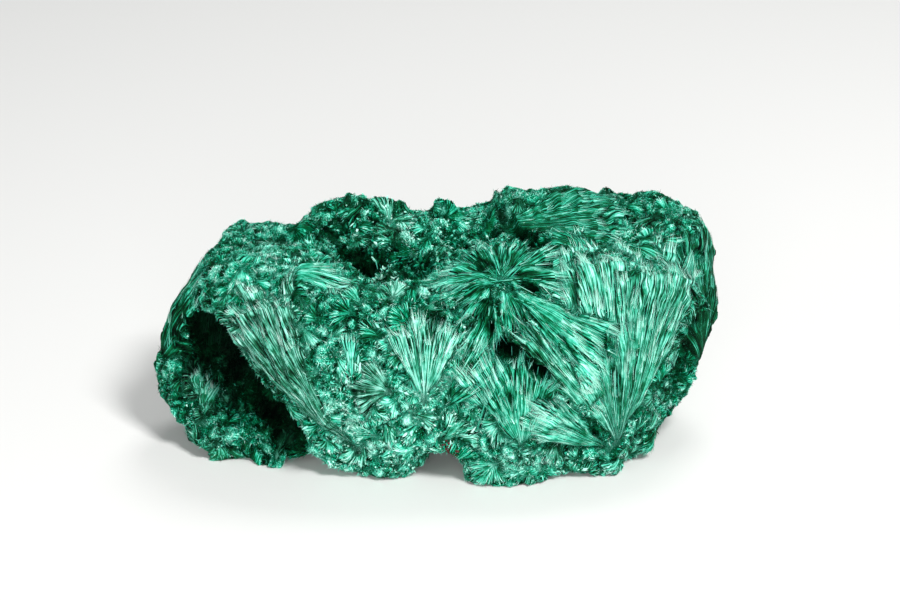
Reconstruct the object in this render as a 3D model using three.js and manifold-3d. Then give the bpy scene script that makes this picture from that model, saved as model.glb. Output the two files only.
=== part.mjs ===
// A hand specimen of velvet malachite: one intergrown mass of fibrous sprays, in millimetres, +Z up.
// The origin is at the middle of the base. -Y is the display side, with the great fan at its right.
// Rough blocks give the mass, hollows are taken out of it, and the sprays are then laid over the rock.

import * as THREE from "three";
import { ConvexGeometry } from "three/addons/geometries/ConvexGeometry.js";
import { ImprovedNoise } from "three/addons/math/ImprovedNoise.js";
import { mergeVertices } from "three/addons/utils/BufferGeometryUtils.js";
import Module from "manifold-3d";

// Driving dimensions.
const LENGTH = 82;
const DEPTH = 43;
const HEIGHT = 32.5;
const GRAIN = 2.5; // spacing of the points of the rough rock between the sprays
const ROUNDING = 1.6; // how softly the blocks run into each other
const LUMPS = [
  { size: 6.5, height: 1.0 },
  { size: 3.3, height: 0.9 },
];
const FOOT_SINK = 0.35; // how much is cut off below, so that the feet are flat
const RIB_HEIGHT = 0.8; // from a groove to the crest beside it, at the outer end of a spray
const RIB_STEPS = 2; // points along each rib
const BURIAL = 4; // how far a spray's root reaches into the rock
const DRAPE_SLOPE = 0.8; // the steepest fall of a rib over the rock, per millimetre grown
const HOLLOW_GROWTH = 0.8; // what the lumps take from a hollow on each side
const MERGE = 1e-4;
const TOUCH = 0.004; // points closer than this count as touching
const SMALLEST = 0.12; // detail below this is left out
const SEED = 11;

const GREEN = 0x1f7a58;

const wasm = await Module();
wasm.setup();

// A repeatable stream of numbers from 0 to 1.
function randomStream(seed) {
  let state = seed;
  return () => {
    state = (state + 0x6d2b79f5) | 0;
    let t = Math.imul(state ^ (state >>> 15), 1 | state);
    t = (t + Math.imul(t ^ (t >>> 7), 61 | t)) ^ t;
    return ((t ^ (t >>> 14)) >>> 0) / 4294967296;
  };
}
const random = randomStream(SEED);

const vec = (p) => new THREE.Vector3(...p);

function solidOf(geometry) {
  geometry.deleteAttribute("normal");
  geometry.deleteAttribute("uv");
  const merged = mergeVertices(geometry, MERGE);
  return new wasm.Manifold(
    new wasm.Mesh({
      numProp: 3,
      vertProperties: merged.attributes.position.array,
      triVerts: new Uint32Array(merged.index.array),
    }),
  );
}

function geometryOf(solid) {
  const mesh = solid.asOriginal().getMesh();
  return new THREE.BufferGeometry()
    .setAttribute("position", new THREE.BufferAttribute(mesh.vertProperties, 3))
    .setIndex(new THREE.BufferAttribute(mesh.triVerts, 1));
}

// The blocks that the mass is made of, each the hull of its corners.
const BLOCKS = {
  greatFanBlock: [
    [8, -16.2, 0], [16, -15, 0], [25.2, -13.8, 0], [28.5, -11, 1.5], [31.4, -8.5, 5.3],
    [30, 4, 0], [24, 15, 0], [6, 16, 0], [36.4, -3, 8.6], [38, 6, 11], [32, 15, 9],
    [35.8, -2.6, 25], [31, -4.5, 27], [22.5, -5, 28.5], [12, -7, 26.5], [10, 12, 30], [30, 13, 29.5],
    [20, -15, 14], [11, -17.6, 9], [29, -10.5, 14],
  ],
  rightFlank: [
    [33, 2, 4], [36.4, -1.5, 9], [39.3, 1.5, 12], [40, 4, 18], [40.5, 7, 25], [37.8, 9.5, 29.4],
    [34, 14.5, 26], [36, 14, 14], [30, 15, 5], [33, 1, 28], [28, 8, 29], [28, 2, 10],
  ],
  topRightCrest: [
    [26, 3, 30], [31, 2.5, 30.4], [37.8, 6, 29.6], [38.6, 11, 29.8], [32.5, 14, 32.2], [26.5, 14.5, 32.2],
    [24, 9, 31], [24, 2, 25], [36, 14, 24], [26, 16, 24],
  ],
  topSlab: [
    [9.2, 8.5, 29.8], [10.3, 14.5, 31.6], [18.4, 15.5, 31.7], [24.6, 14, 31.2], [25.5, 6, 30.8], [21, 2.5, 30.6],
    [14.5, 3.5, 30.2], [11, 4, 24], [24, 2, 24], [10, 17, 22], [25, 17, 22],
  ],
  centreLobe: [
    [4.5, -15.2, 0], [6.5, -16.5, 0], [9.3, -17.4, 0], [13.5, -16.2, 0], [17, -14, 0], [3.4, -15.8, 3.5],
    [6, -17.6, 5], [12, -18.6, 5], [13, -17.6, 12], [5, -16.5, 14], [3, -13, 21], [15, -14, 19],
    [4, 0, 2], [16, 0, 2], [8, -6, 25.5],
  ],
  frontLeftLobe: [
    [-11.8, -13.6, 0], [-8.3, -15.1, 0], [-4.7, -14.8, 0], [-1.9, -14.9, 1.4], [-1.5, -15.6, 5],
    [-18.1, -14.9, 5.9], [-20.4, -14.6, 8], [-21.7, -14.2, 10.5], [-16, -16.6, 12], [-9, -17, 14.5],
    [-2, -16.2, 12], [-25.2, -12.8, 13.1], [-19, -14.6, 19.5], [-8, -14.4, 20.5], [-1, -13.8, 20.5],
    [-10, 0, 0], [0, -2, 2], [-14, 0, 14],
  ],
  centreBridge: [
    [-4, -15.4, 5.6], [5, -15.8, 5.6], [-4, -16, 12], [5.5, -16.6, 12], [-3, -14, 20.5], [5, -13.8, 20.5],
    [-3, 0, 5.6], [5, 0, 5.6], [0, -2, 20],
  ],
  upperFrontShelf: [
    [-29.6, -9.3, 20.5], [-30.4, -7.8, 24.2], [-27.7, -11.3, 16.5], [-25.2, -12.6, 13.1], [-20, -13, 20],
    [-20, -9.6, 25], [-12.8, -10.6, 26.4], [1.5, -10.6, 25.4], [2, -13.2, 20.5], [-7, -14, 20],
    [10, -9, 25.6], [9, 2, 27], [-12, 3, 27], [-24, 2, 24], [-16, -3, 12],
  ],
  leftRoof: [
    [-33.2, -0.5, 27.2], [-33.8, -2.5, 22.8], [-30.4, -7.4, 24.4], [-24, -8, 26], [-18, -8, 26.4],
    [-31.4, 5, 27.2], [-28.8, 11, 28], [-20, 13, 28.4], [-14, 3, 27.4], [-25, -2.5, 27.6],
    [-26, 12, 18], [-14, 13, 18], [-34, 3, 20], [-20, -2, 18],
  ],
  leftWing: [
    [-33.2, -0.5, 25], [-34.6, -3.2, 20.8], [-37.4, 1, 19.5], [-39.4, 0.5, 13.5], [-40.3, -1, 10.3],
    [-38.6, -3.6, 6.4], [-36.4, -5, 4.4], [-35, -7, 2.6], [-33.9, -6, 11.2], [-36.5, 6, 9],
    [-34, 8, 4], [-32, 10, 18], [-27, 8, 4], [-27, 6, 20], [-31, -3, 4],
  ],
  backLeft: [
    [-30, 9, 3], [-26, 12.5, 0], [-12, 16.5, 0], [4, 17, 0], [-30, 9.5, 14], [-24, 15.5, 12], [-6, 19, 12],
    [8, 19, 11], [-26, 12.5, 22], [-17, 13.4, 27], [-2, 14, 27.6], [8, 14.5, 28], [-20, 2, 2], [8, 2, 2],
    [-22, 4, 25], [8, 2, 26],
  ],
  backRight: [
    [4, 17, 0], [22, 15.5, 0], [29, 9, 0], [6, 19.4, 12], [20, 20, 13], [30, 17.5, 14], [12, 17, 27],
    [30, 15, 28], [8, 4, 4], [28, 4, 4],
  ],
  skylineKnobs: [
    [-19, 14, 30.6], [-17, 11, 29.8], [-12.4, 15, 30.2], [-9.6, 12, 30], [-5.2, 14.4, 30.6],
    [-3.4, 11, 29.2], [-15.6, 9, 26], [-4, 8.5, 26], [-17.5, 16, 26], [-4, 17, 26],
  ],
  skylineKnobRight: [
    [-0.4, 13, 30.4], [1, 15, 31.6], [5, 14.4, 31], [11, 13.4, 30], [-1, 9, 26], [11, 8, 26],
    [-1, 17, 26], [11, 17, 26],
  ],
};

// What is hollow: the cavern under the left ledge, the pocket on top, the arches below and the pits.
const HOLLOWS = {
  cavern: [
    [-33.6, -6.4, 20.5], [-30.9, -8.4, 23], [-29.4, -13, 19], [-25.8, -16, 12], [-20.8, -18, 7],
    [-16.6, -18, 4.4], [-32.6, -12, 9], [-31.2, -12, 3], [-25, -12, 3], [-17, -12, 3],
    [-31.4, -2.6, 17], [-29.6, -1.4, 6], [-18, -4.5, 4], [-23, -1.5, 13.5], [-27, -1, 20],
  ],
  pocketLeft: [
    [-15, -2, 31], [-13.8, 6.6, 31], [-7, 4.4, 31], [-8, -4, 31], [-12, 0, 18.4], [-10.4, 4, 17.8],
    [-8.4, -0.6, 18.8],
  ],
  pocketRight: [
    [-6.6, -2, 31], [-5.2, 8.4, 31], [0.6, 5.4, 31], [0.4, -4.2, 31], [-4.8, 0.6, 19.6], [-2.4, 4.2, 18.8],
    [-2.4, -1, 19.6],
  ],
  pocketFront: [[-9.4, -6, 31], [-2, -6.8, 31], [-5, 0.6, 31], [-6.8, -4, 21.6], [-4.6, -1.4, 21]],
  frontArch: [
    [-0.6, -22, -1], [3.4, -22, -1], [-0.2, -22, 3.4], [1.2, -22, 4.8], [2.4, -22, 3],
    [-1.4, -6, -1], [3.4, -6, -1], [1, -7, 3],
  ],
  rightArch: [[17.4, -20, -1], [24, -20, -1], [18.6, -20, 1.5], [22.8, -20, 1.3], [18, -7, -1], [24, -7, -1]],
  underside: [[-22, 11, -1], [-3, -5, -1], [20, -4, -1], [17, 9, -1], [-10, 9, -1], [-6, 3, 1.6], [10, 3, 1.6]],
  sideGroove: [[38, -6, 21], [35.6, -6.4, 11.4], [39.4, -6, 10.6], [36, 1.8, 20], [37.2, 0.4, 12], [34, -1.6, 15]],
  wingFold: [[-37.6, -7, 19], [-33.4, -8, 16], [-35.6, -8, 7.4], [-35.4, -1.8, 17], [-34.4, -2.4, 10]],
};

// The dark pits around the star, which are cut last.
const PITS = {
  starPit: [[7.8, -17, 21.8], [12.4, -17, 20.4], [9.4, -17, 17.2], [8.4, -8, 19.6], [11.2, -8, 20.2]],
  lowerPit: [[12.8, -19, 17.4], [17, -19, 17.2], [15.4, -19, 14.2], [14.4, -10, 16.8], [15.4, -10, 16]],
  starSide: [[11.6, -9.6, 30], [15, -9.6, 30], [14.2, -6.6, 30], [12.8, -7.8, 24.8]],
  slabCleft: [[11, 1.4, 33], [15.8, -1.4, 33], [17, 2.4, 33], [12.2, 3, 26.6], [15.2, 0.6, 26]],
};

// The mass at the foot of the cavern, which closes its lower end and spans the low arch at the left.
const FILLINGS = {
  lowerLeft: [
    [-35, -8, 2.8], [-33.9, -10.5, 0], [-29.8, -10.6, 0], [-28, -9.8, 2.4], [-21, -10.4, 2.2], [-13, -12, 2.2],
    [-34.6, -6, 7], [-31, -6, 7.4], [-24, -6.4, 6.4], [-16, -8, 5.4], [-32.8, 0, 12],
    [-27, -0.6, 10.6], [-19, -2.4, 9], [-33, 4, 0], [-29, 4, 0], [-27.6, 4, 2.4], [-13, 4, 2.4],
  ],
  cavernBack: [
    [-33.6, 1, 8], [-20, -2, 8], [-33.8, 1, 22], [-28, -1.6, 21], [-20, -2, 24], [-31, 8, 8], [-31, 8, 22],
    [-18, 8, 8], [-18, 8, 24],
  ],
  pocketLump: [[-8.2, 1.4, 21], [-5.4, 1, 21], [-7.6, 4, 21], [-7, 2.2, 26.6], [-5.8, 3, 25.6]],
};

const union = (solids) => solids.slice(1).reduce((mass, block) => mass.add(block), solids[0]);

const hull = (points) => solidOf(new ConvexGeometry(points.map(vec)));

// The distance from a point to the hull of some corners, less than zero inside it.
function hullDistance(points) {
  const corners = new ConvexGeometry(points.map(vec)).attributes.position;
  const corner = (i) => new THREE.Vector3().fromBufferAttribute(corners, i);
  const planes = [];
  for (let i = 0; i < corners.count; i += 3) {
    const plane = new THREE.Plane().setFromCoplanarPoints(corner(i), corner(i + 1), corner(i + 2));
    const known = planes.some((other) => other.normal.dot(plane.normal) > 0.9999);
    if (!known) planes.push(plane);
  }
  return (point) => Math.max(...planes.map((plane) => plane.distanceToPoint(point)));
}

// The lower of two distances, with the corner between them rounded.
function softMin(a, b) {
  const overlap = Math.max(ROUNDING - Math.abs(a - b), 0);
  return Math.min(a, b) - (overlap * overlap) / (4 * ROUNDING);
}

// The distance to the lumpy surface of the rock, less than zero inside it.
function rockDistance() {
  const blocks = Object.values(BLOCKS).map(hullDistance);
  const hollows = Object.values(HOLLOWS).map(hullDistance);
  const fillings = Object.values(FILLINGS).map(hullDistance);
  const field = new ImprovedNoise();
  return (point) => {
    let distance = blocks.map((block) => block(point)).reduce(softMin);
    for (const hollow of hollows) distance = -softMin(-distance, hollow(point) - HOLLOW_GROWTH);
    for (const filling of fillings) distance = softMin(distance, filling(point));
    for (const { size, height } of LUMPS) {
      const noise = field.noise(point.x / size, point.y / size, point.z / size + SEED);
      distance -= height * (0.4 + 1.6 * noise);
    }
    return distance;
  };
}

// A mesh of the surface where the distance is zero: one point in each cell of a grid that it crosses.
function meshed(distance, box, cell) {
  const counts = box.getSize(new THREE.Vector3()).divideScalar(cell).ceil().addScalar(1).toArray();
  const steps = [1, counts[0], counts[0] * counts[1]];
  const place = (x, y, z) => new THREE.Vector3(x, y, z).multiplyScalar(cell).add(box.min);
  const values = [];
  for (let z = 0; z < counts[2]; z++) {
    for (let y = 0; y < counts[1]; y++) {
      for (let x = 0; x < counts[0]; x++) values.push(distance(place(x, y, z)));
    }
  }
  const inner = (i) => counts.every((count, axis) => Math.floor(i / steps[axis]) % count < count - 1);
  const cells = values.map((_, i) => i).filter(inner);
  while (cells.filter((i) => untangled(values, i, steps)).length);

  const positions = [];
  const numbers = new Map();
  for (const i of cells) {
    const middle = new THREE.Vector3();
    let crossings = 0;
    for (const [from, axis] of cellEdges(i, steps)) {
      const [a, b] = [values[from], values[from + steps[axis]]];
      if (a < 0 === b < 0) continue;
      const at = counts.map((count, other) => Math.floor(from / steps[other]) % count);
      at[axis] += a / (a - b);
      middle.add(place(...at));
      crossings += 1;
    }
    if (!crossings) continue;
    numbers.set(i, positions.length / 3);
    positions.push(...middle.divideScalar(crossings).toArray());
  }
  const triangles = [];
  for (const i of cells) {
    for (let axis = 0; axis < 3; axis++) {
      if (values[i] < 0 === values[i + steps[axis]] < 0) continue;
      const [u, v] = [steps[(axis + 1) % 3], steps[(axis + 2) % 3]];
      const [a, b, c, d] = [i, i - u, i - u - v, i - v].map((n) => numbers.get(n));
      triangles.push(...(values[i] < 0 ? [a, b, c, a, c, d] : [a, c, b, a, d, c]));
    }
  }
  const geometry = new THREE.BufferGeometry().setIndex(triangles);
  return solidOf(geometry.setAttribute("position", new THREE.Float32BufferAttribute(positions, 3)));
}

// The twelve edges of a cell, each as its first corner and its axis.
function cellEdges(i, steps) {
  return [0, 1, 2].flatMap((axis) => {
    const [u, v] = [steps[(axis + 1) % 3], steps[(axis + 2) % 3]];
    return [i, i + u, i + v, i + u + v].map((from) => [from, axis]);
  });
}

// Fills a corner of a cell's face where two parts of the rock would only touch along an edge.
function untangled(values, i, [x, y, z]) {
  const inside = (n) => values[n] < 0;
  const faces = [[x, y], [y, z], [x, z]].map(([u, v]) => [i, i + u, i + u + v, i + v]);
  const crossed = faces.filter(([a, b, c, d]) => {
    return inside(a) === inside(c) && inside(b) === inside(d) && inside(a) !== inside(b);
  });
  for (const face of crossed) {
    const outside = face.filter((n) => !inside(n)).sort((a, b) => values[a] - values[b]);
    values[outside[0]] = -0.01;
  }
  return crossed.length > 0;
}

// Finds the rock's surface under a point, looking inwards against the given outward direction.
class Surface {
  constructor(solid) {
    this.mesh = new THREE.Mesh(geometryOf(solid), new THREE.MeshBasicMaterial({ side: THREE.FrontSide }));
    this.ray = new THREE.Raycaster();
  }

  under(point, out, above = 8) {
    this.ray.set(point.clone().addScaledVector(out, above), out.clone().negate());
    const hit = this.ray.intersectObject(this.mesh)[0];
    return hit && hit.distance < 2.2 * above ? hit : null;
  }
}

// The sprays that can be told apart. toward is the way the middle of the fan grows, face is outwards.
const FRONT = [0, -1, 0.35];
const SPRAYS = [
  // The great fan at the right, and the one that hangs from the top edge beside it.
  { at: [25.6, -14, 5], toward: [-0.16, 0.35, 1], face: [0.15, -1, 0.35], reach: 24, spread: 76, ribs: 9, rise: 1.6 },
  { at: [24.6, -14.4, 4.6], toward: [-0.95, 0.1, 0.62], face: [-0.05, -1, 0.3], reach: 12, spread: 40, ribs: 4, rise: 1.2 },
  { at: [31, -3, 28.6], toward: [0.3, -0.4, -1], face: [0.25, -1, 0.6], reach: 11, spread: 100, ribs: 6, rise: 1.0 },
  // The star on the shoulder and its long arm to the lower right.
  { at: [9.3, -8, 27], toward: [0.2, 0.4, 1], face: [0, -0.8, 0.6], reach: 7.5, spread: 230, ribs: 8, rise: 1.6 },
  { at: [10.6, -9, 25.8], toward: [1, -0.35, -0.66], face: [0.1, -1, 0.6], reach: 16.5, spread: 40, ribs: 5, rise: 1.5 },
  { at: [8.6, -9, 25.4], toward: [-0.3, -0.45, -1], face: [0, -1, 0.6], reach: 8, spread: 84, ribs: 5, rise: 1.2 },
  // The fans of the lower front.
  { at: [12.2, -17.6, 6.6], toward: [0.1, 0.1, 1], face: FRONT, reach: 11.5, spread: 100, ribs: 8, rise: 1.2 },
  { at: [6, -16.8, 9.4], toward: [0.5, 0.1, 0.85], face: FRONT, reach: 9.5, spread: 26, ribs: 2, rise: 1.7 },
  { at: [-1.2, -15.6, 12.4], toward: [0, 0.2, 1], face: FRONT, reach: 10.5, spread: 64, ribs: 5, rise: 1.2 },
  { at: [0.6, -15.8, 11.2], toward: [0.8, 0.1, 0.75], face: FRONT, reach: 11, spread: 36, ribs: 3, rise: 1.1 },
  { at: [-8.6, -16.4, 12.6], toward: [-0.2, 0, 1], face: FRONT, reach: 4.8, spread: 360, ribs: 5, rise: 1.5, domed: true },
  { at: [-12.6, -16.2, 8.6], toward: [-1, 0.1, 0.75], face: [-0.2, -1, 0.3], reach: 8, spread: 70, ribs: 4, rise: 0.9 },
  { at: [-15, -15, 6.4], toward: [-0.62, 0.25, 1], face: [-0.45, -1, 0.35], reach: 19, spread: 34, ribs: 4, rise: 1.2 },
  // The upper left: the bright fan and the velvet cushion.
  { at: [-23.6, -5.4, 27], toward: [1, -0.1, 0.05], face: [0.1, -0.5, 1], reach: 10.5, spread: 80, ribs: 5, rise: 1.2 },
  { at: [-26.4, -4.6, 26.8], toward: [-1, 0, 0], face: [-0.2, -0.5, 1], reach: 6, spread: 360, ribs: 5, rise: 1.5, domed: true },
  // The wing at the left end and the right flank.
  { at: [-33.2, -9, 5.4], toward: [0.15, 0.3, 1], face: [-0.35, -1, 0.1], reach: 7.5, spread: 44, ribs: 3, rise: 0.9 },
  { at: [-38, 1, 5.6], toward: [0.25, 0.2, 1], face: [-1, -0.2, 0.25], reach: 19, spread: 50, ribs: 4, rise: 0.8 },
  { at: [38, 4, 7], toward: [0.05, 0.15, 1], face: [1, -0.25, 0], reach: 19, spread: 50, ribs: 4, rise: 0.7 },
  // The back.
  { at: [19, 18, 5], toward: [0.1, 0, 1], face: [0.05, 1, 0.1], reach: 18, spread: 90, ribs: 7, rise: 1.3 },
  { at: [0, 16.6, 25.8], toward: [-0.15, 0.2, -1], face: [-0.05, 1, 0.35], reach: 16, spread: 80, ribs: 6, rise: 1.2 },
  { at: [-15, 16.6, 5], toward: [-0.45, 0, 1], face: [-0.25, 1, 0.1], reach: 14, spread: 80, ribs: 5, rise: 1.1 },
  // The top.
  { at: [22, -2, 29.6], toward: [-0.3, 1, 0], face: [-0.1, -0.3, 1], reach: 7, spread: 140, ribs: 5, rise: 0.9 },
];

// A spray with its centre on the rock and its directions at right angles.
function settled(surface, { at, toward, face, ...rest }) {
  const out = vec(face).normalize();
  const hit = surface.under(vec(at), out);
  const centre = hit ? hit.point.clone() : vec(at);
  const axis = vec(toward).addScaledVector(out, -vec(toward).dot(out)).normalize();
  return { centre, out, axis, side: new THREE.Vector3().crossVectors(axis, out), ...rest };
}

// Whether a point lies in a spray's sector, within a share of its reach.
function owns({ centre, out, axis, reach, spread }, point, share) {
  const away = point.clone().sub(centre);
  const distance = away.length();
  if (distance > reach * share) return false;
  if (spread >= 360 || distance < 0.5) return true;
  const flat = away.clone().addScaledVector(out, -away.dot(out));
  return flat.length() > 0.6 * distance && THREE.MathUtils.radToDeg(flat.angleTo(axis)) < spread / 2;
}

// How far a rib grows before it meets the ribs of another spray.
function growth(spray, direction, sprays) {
  const stride = 0.4;
  for (let grown = 1.6; grown < spray.reach; grown += stride) {
    const tip = spray.centre.clone().addScaledVector(direction, grown);
    const share = grown / spray.reach;
    if (sprays.some((other) => other !== spray && owns(other, tip, share))) return grown;
  }
  return spray.reach;
}

// Ribs of fibres that radiate from one point and follow the rock that they lie on. A fan is highest
// past its middle, and a cushion at its centre. The ribs run out into the rock at their ends.
function grownSpray(surface, spray, sprays) {
  const { centre, out, axis, side, reach, spread, ribs, rise, domed } = spray;
  const whole = spread >= 360;
  const columns = 2 * ribs + (whole ? 0 : 1);
  const apex = centre.clone().addScaledVector(out, domed ? rise : 0.3);
  const grid = [];
  for (let c = 0; c < columns; c++) {
    const share = c / (whole ? columns : columns - 1) - 0.5;
    const angle = THREE.MathUtils.degToRad(share * spread);
    const direction = axis.clone().multiplyScalar(Math.cos(angle)).addScaledVector(side, Math.sin(angle));
    const crest = c % 2 ? 1 : -1;
    const edge = !whole && (c === 0 || c === columns - 1);
    const length = growth(spray, direction, sprays) * (crest > 0 ? 1 + 0.16 * random() : 0.94);
    const column = [];
    let height = 0;
    for (let step = 1; step <= RIB_STEPS; step++) {
      const along = step / RIB_STEPS;
      const flat = centre.clone().addScaledVector(direction, length * along);
      const hit = surface.under(flat, out);
      const most = (DRAPE_SLOPE * length) / RIB_STEPS;
      const found = hit ? hit.point.clone().sub(flat).dot(out) : height - most;
      height = THREE.MathUtils.clamp(found, height - most, height + most);
      const body = domed ? rise * (1 - along * along) : rise * (0.25 + 0.75 * Math.sin(2.5 * along));
      const wave = 0.5 * crest * RIB_HEIGHT * Math.min(1, (length * along) / 5);
      column.push(flat.addScaledVector(out, height + body + wave - (edge ? 0.6 : 0) - (along === 1 ? 0.5 : 0)));
    }
    grid.push(column);
  }
  const root = grid.flat().reduce((sum, p) => sum.add(p), new THREE.Vector3());
  root.divideScalar(grid.flat().length).addScaledVector(out, -Math.max(BURIAL, 0.45 * reach));
  return closedFan(apex, grid, root, whole);
}

function closedFan(apex, grid, root, whole) {
  const corners = [];
  const triangle = (...points) => points.forEach((p) => corners.push(p.x, p.y, p.z));
  const last = grid[0].length - 1;
  const strips = whole ? grid.length : grid.length - 1;
  for (let c = 0; c < strips; c++) {
    const here = grid[c];
    const next = grid[(c + 1) % grid.length];
    triangle(apex, next[0], here[0]);
    for (let step = 0; step < last; step++) {
      triangle(here[step], next[step], next[step + 1]);
      triangle(here[step], next[step + 1], here[step + 1]);
    }
    triangle(here[last], next[last], root);
  }
  if (!whole) {
    const first = [apex, ...grid[0]];
    const final = [apex, ...grid.at(-1)];
    for (let step = 0; step <= last; step++) {
      triangle(first[step], first[step + 1], root);
      triangle(final[step + 1], final[step], root);
    }
  }
  const geometry = new THREE.BufferGeometry();
  return solidOf(geometry.setAttribute("position", new THREE.Float32BufferAttribute(corners, 3)));
}

// The specimen stands on the small flats that are left where everything below the base is cut off.
function flattenedFeet(solid) {
  const below = new THREE.BoxGeometry(2 * LENGTH, 4 * DEPTH, HEIGHT);
  below.translate(0, 0, FOOT_SINK - HEIGHT / 2);
  return solid.subtract(solidOf(below)).translate([0, 0, -FOOT_SINK]);
}

// The skin that encloses the most, without crumbs and without hollows that are closed on all sides.
function outerSkin(solid) {
  return solid.decompose().sort((a, b) => b.volume() - a.volume())[0];
}

// Draws the skin in by a hair where it touches itself, so that it stays closed.
function parted(geometry) {
  geometry.computeVertexNormals();
  const { position, normal } = geometry.attributes;
  const points = Array.from({ length: position.count }, (_, i) => new THREE.Vector3().fromBufferAttribute(position, i));
  const touching = points.filter((p, i) => points.some((q, j) => i !== j && p.distanceTo(q) < TOUCH));
  for (const point of touching) {
    const i = points.indexOf(point);
    const moved = point.clone().addScaledVector(new THREE.Vector3().fromBufferAttribute(normal, i), -5 * TOUCH);
    position.setXYZ(i, moved.x, moved.y, moved.z);
  }
  return geometry;
}

function malachite() {
  const room = new THREE.Box3(vec([-47, -27, -5]), vec([48, 28, 39]));
  const rock = meshed(rockDistance(), room, GRAIN);
  const surface = new Surface(rock);
  const sprays = SPRAYS.map((spray) => settled(surface, spray));
  const grown = union([rock, ...sprays.map((spray) => grownSpray(surface, spray, sprays))]);
  const pitted = Object.values(PITS).reduce((left, points) => left.subtract(hull(points)), grown);
  const whole = parted(geometryOf(outerSkin(flattenedFeet(pitted).simplify(SMALLEST))));
  whole.computeBoundingBox();
  const middle = whole.boundingBox.getCenter(new THREE.Vector3());
  return whole.translate(-middle.x, -middle.y, 0);
}

const specimen = new THREE.Mesh(
  malachite(),
  new THREE.MeshStandardMaterial({ color: GREEN, roughness: 0.7, metalness: 0 }),
);
specimen.name = "malachite_specimen";

const part = new THREE.Group();
part.add(specimen);

export default part;
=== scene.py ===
# %% [markdown]
# # Velvet malachite
# Velvet malachite is copper carbonate that grew as needles. Thousands of them start from one point
# and fan out, and each fan stops where it meets the next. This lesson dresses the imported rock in
# three steps: the rock itself, a map that says which way the needles grow at each point of it, and
# the needles, which Geometry Nodes plants on the rock by that map.

# %% The frame and the helpers
import math

import bmesh
import bpy
import numpy as np
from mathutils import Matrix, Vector, noise
from mathutils.bvhtree import BVHTree
from mathutils.kdtree import KDTree


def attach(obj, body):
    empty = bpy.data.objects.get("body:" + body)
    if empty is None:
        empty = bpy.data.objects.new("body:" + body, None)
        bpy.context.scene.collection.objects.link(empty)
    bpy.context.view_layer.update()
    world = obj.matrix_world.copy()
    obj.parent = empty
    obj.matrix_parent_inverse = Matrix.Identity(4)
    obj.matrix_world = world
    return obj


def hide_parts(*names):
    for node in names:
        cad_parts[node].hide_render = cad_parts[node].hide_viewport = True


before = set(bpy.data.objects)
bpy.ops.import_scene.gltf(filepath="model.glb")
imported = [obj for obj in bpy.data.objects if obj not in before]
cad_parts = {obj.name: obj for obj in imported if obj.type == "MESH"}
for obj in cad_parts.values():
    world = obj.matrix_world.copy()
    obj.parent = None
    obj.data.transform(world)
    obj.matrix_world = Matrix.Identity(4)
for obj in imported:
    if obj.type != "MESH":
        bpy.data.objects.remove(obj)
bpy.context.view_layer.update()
MM = 0.001

# %% [markdown]
# ## Camera, floor and light
# The specimen is seen from its front and 25 degrees from above, with a long lens, so that it hardly
# narrows towards the back. The floor is plain and pale. The main light stands high at the front
# right and models the fans. Three wider and weaker ones keep the left end, the back of the top and
# the hollows of the front from going black.

# %% The camera
PHOTO_TILT = math.radians(25)
PHOTO_DISTANCE = 0.357
AIM = Vector((0.0017, -0.0006, 0.0206))

camera_data = bpy.data.cameras.new("camera")
camera_data.lens = 100
camera_data.sensor_width = 36
camera_data.clip_start = 0.01
camera = bpy.data.objects.new("camera", camera_data)
bpy.context.scene.collection.objects.link(camera)
camera.location = AIM + PHOTO_DISTANCE * Vector((0, -math.cos(PHOTO_TILT), math.sin(PHOTO_TILT)))
camera.rotation_euler = (AIM - camera.location).to_track_quat("-Z", "Y").to_euler()
bpy.context.scene.camera = camera
print("The camera stands", round(PHOTO_DISTANCE / MM), "mm away")

# %% The floor
FLOOR_EDGE = 3.0  # metres from the middle


def linear(hex_colour):
    """The linear RGBA of an sRGB colour such as '1f7a58'."""
    parts = [int(hex_colour[i : i + 2], 16) / 255 for i in (0, 2, 4)]
    return [c / 12.92 if c <= 0.04045 else ((c + 0.055) / 1.055) ** 2.4 for c in parts] + [1.0]


def new_material(name, **sockets):
    """A material, its tree and its shader, with the values given on the shader's own sockets."""
    material = bpy.data.materials.new(name)
    material.use_nodes = True
    shader = material.node_tree.nodes["Principled BSDF"]
    for socket, value in sockets.items():
        shader.inputs[socket.replace("_", " ")].default_value = value
    return material, material.node_tree, shader


# A painted board is matte. It takes a soft shadow and mirrors nothing.
floor_material = new_material("pale_matte_board", Base_Color=linear("dcdcda"), Roughness=0.6)[0]
floor_mesh = bpy.data.meshes.new("floor")
corners = [(FLOOR_EDGE * x, FLOOR_EDGE * y, 0) for x, y in ((-1, -1), (1, -1), (1, 1), (-1, 1))]
floor_mesh.from_pydata(corners, [], [(0, 1, 2, 3)])
floor = bpy.data.objects.new("floor", floor_mesh)
floor.data.materials.append(floor_material)
bpy.context.scene.collection.objects.link(floor)
print("The floor is", 2 * FLOOR_EDGE, "m wide")


# %% The lights
def soft_light(name, place, width, watts):
    """A square light that faces the specimen, placed in metres."""
    data = bpy.data.lights.new(name, "AREA")
    data.shape = "SQUARE"
    data.size = width
    data.energy = watts
    light = bpy.data.objects.new(name, data)
    light.location = place
    light.rotation_euler = (AIM - light.location).to_track_quat("-Z", "Y").to_euler()
    bpy.context.scene.collection.objects.link(light)
    print("The", name, "light stands", round(light.location.length, 2), "m away")


soft_light("key", (0.24, -0.30, 0.52), width=0.16, watts=4.2)
soft_light("fill", (-0.45, -0.36, 0.22), width=0.35, watts=0.9)
soft_light("top_back", (0.10, 0.30, 0.50), width=0.22, watts=1.1)
soft_light("front", (-0.04, -0.60, 0.17), width=0.30, watts=2.0)

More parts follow.
